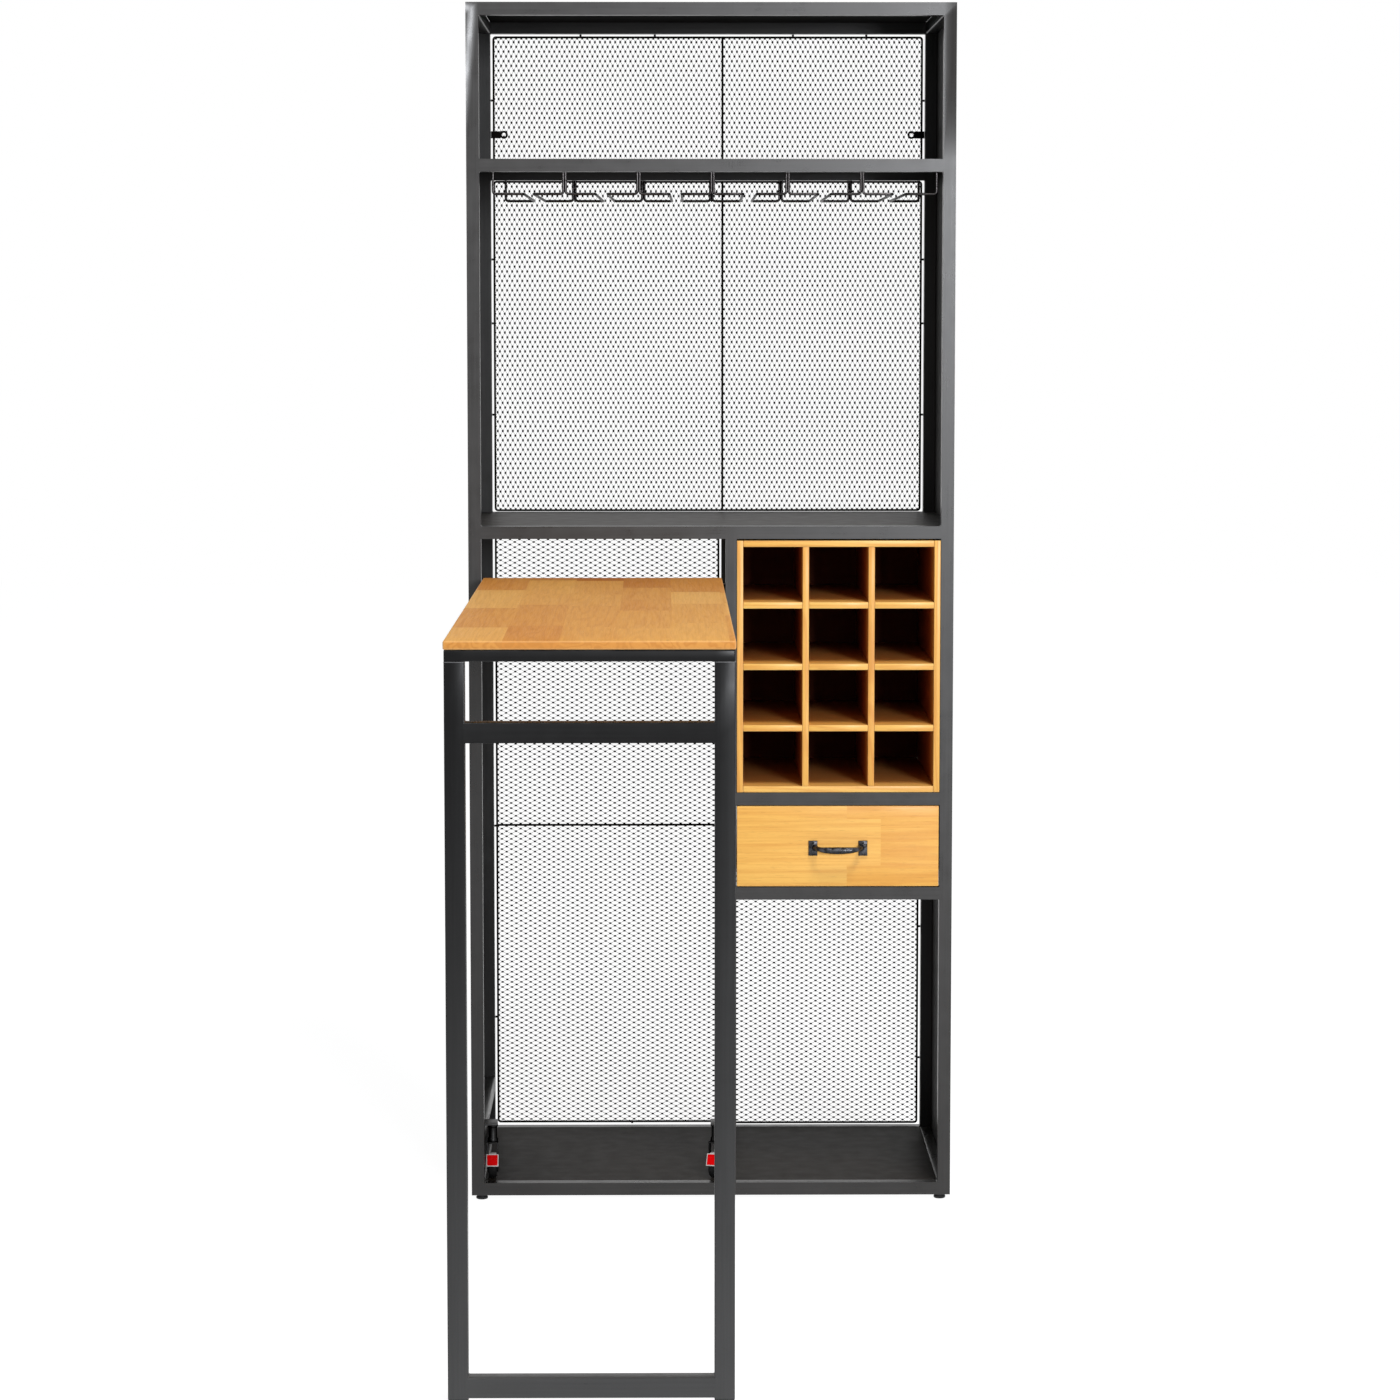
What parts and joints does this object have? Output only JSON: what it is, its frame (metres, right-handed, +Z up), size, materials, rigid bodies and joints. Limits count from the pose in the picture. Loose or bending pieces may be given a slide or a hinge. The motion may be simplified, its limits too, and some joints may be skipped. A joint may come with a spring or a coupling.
{
  "type": "wine cabinet",
  "caption": "Tall open wine cabinet of dark square steel tube with mesh back, bottle rack, drawer, glass rails and a roll-out bar table on casters.",
  "frame": {"origin": "on the floor, under the centre of the whole object's box (cabinet and rolled-out table together)", "axes": "+X to the right seen from the front, +Y from the table towards the cabinet's back, +Z up"},
  "size_m": [0.73, 1.59, 1.808],
  "materials": {
    "frame_steel": "warm grey-black baked powder coat, semi-matt, light grain",
    "panel_steel": "dark powder-coated sheet, semi-matt",
    "table_steel": "dark powder coat, a little cooler and darker than the cabinet",
    "mesh_black": "black coat on expanded sheet and wire",
    "wood": "honey-coloured joined staves, clear satin varnish",
    "rack_wood": "orange-brown pine boards, clear satin varnish",
    "wire_grey": "dark plated bent wire",
    "handle_iron": "dark blackened casting, satin",
    "runner_zinc": "zinc-plated slide rail",
    "caster_steel": "grey zinc-plated pressed steel",
    "black_rubber": "matt black tread",
    "foot_plastic": "black moulded glide",
    "pedal_red": "red moulded pedal pad with a worn pale edge"
  },
  "bodies": {
    "cabinet": {"front_frame": "frame_steel", "rear_frame": "frame_steel", "top_side_rail_left": "frame_steel", "top_side_rail_right": "frame_steel", "floor_side_rail_left": "frame_steel", "floor_side_rail_right": "frame_steel", "bay_guide_rail": "frame_steel", "side_panel_left": "panel_steel", "side_panel_right": "panel_steel", "top_deck": "panel_steel", "upper_shelf_deck": "panel_steel", "mid_shelf_deck": "panel_steel", "rack_deck": "panel_steel", "floor_deck": "panel_steel", "foot_front_left": "foot_plastic", "foot_front_right": "foot_plastic", "foot_rear_left": "foot_plastic", "foot_rear_right": "foot_plastic", "mesh_top": "mesh_black", "mesh_middle": "mesh_black", "mesh_lower_left": "mesh_black", "mesh_lower_right": "mesh_black", "rack_side_left": "rack_wood", "rack_side_right": "rack_wood", "rack_bottom": "rack_wood", "rack_top": "rack_wood", "rack_back": "rack_wood", "rack_upright_1": "rack_wood", "rack_upright_2": "rack_wood", "rack_shelf_1": "rack_wood", "rack_shelf_2": "rack_wood", "rack_shelf_3": "rack_wood", "drawer_runner_left": "runner_zinc", "drawer_runner_right": "runner_zinc", "glass_hanger_1": "wire_grey", "glass_hanger_2": "wire_grey", "glass_hanger_3": "wire_grey", "glass_hanger_4": "wire_grey", "glass_hanger_5": "wire_grey", "glass_hanger_6": "wire_grey", "glass_hanger_7": "wire_grey"},
    "drawer": {"drawer_front": "wood", "drawer_side_left": "rack_wood", "drawer_side_right": "rack_wood", "drawer_back": "rack_wood", "drawer_bottom": "rack_wood", "drawer_handle": "handle_iron"},
    "table": {"tabletop": "wood", "table_top_frame": "table_steel", "table_front_frame": "table_steel", "table_rear_leg_left": "table_steel", "table_rear_leg_right": "table_steel", "table_glide_left": "foot_plastic", "table_glide_right": "foot_plastic"},
    "caster_left": {"caster_fork_left": "caster_steel"},
    "wheel_left": {"caster_wheel_left": "black_rubber"},
    "pedal_left": {"brake_pedal_left": "pedal_red"},
    "caster_right": {"caster_fork_right": "caster_steel"},
    "wheel_right": {"caster_wheel_right": "black_rubber"},
    "pedal_right": {"brake_pedal_right": "pedal_red"}
  },
  "joints": [
    {"name": "table_roll", "type": "slide", "parent": "cabinet", "child": "table", "axis": [0, 1, 0], "range_m": [0, 0.345]},
    {"name": "drawer_pull", "type": "slide", "parent": "cabinet", "child": "drawer", "axis": [0, -1, 0], "range_m": [0, 0.25]},
    {"name": "caster_swivel_left", "type": "hinge", "parent": "table", "child": "caster_left", "pos_m": [-0.3346, 0.4015, 0.0855], "axis": [0, 0, 1], "continuous": true},
    {"name": "wheel_spin_left", "type": "hinge", "parent": "caster_left", "child": "wheel_left", "pos_m": [-0.3346, 0.3935, 0.0429], "axis": [1, 0, 0], "continuous": true},
    {"name": "pedal_press_left", "type": "hinge", "parent": "caster_left", "child": "pedal_left", "pos_m": [-0.3346, 0.392, 0.063], "axis": [1, 0, 0], "range_deg": [-10, 0]},
    {"name": "caster_swivel_right", "type": "hinge", "parent": "table", "child": "caster_right", "pos_m": [0.0079, 0.4015, 0.0855], "axis": [0, 0, 1], "continuous": true},
    {"name": "wheel_spin_right", "type": "hinge", "parent": "caster_right", "child": "wheel_right", "pos_m": [0.00583, 0.39377, 0.0429], "axis": [0.9659, -0.2588, 0], "continuous": true},
    {"name": "pedal_press_right", "type": "hinge", "parent": "caster_right", "child": "pedal_right", "pos_m": [0.00544, 0.39232, 0.063], "axis": [0.9659, -0.2588, 0], "range_deg": [-10, 0]}
  ]
}
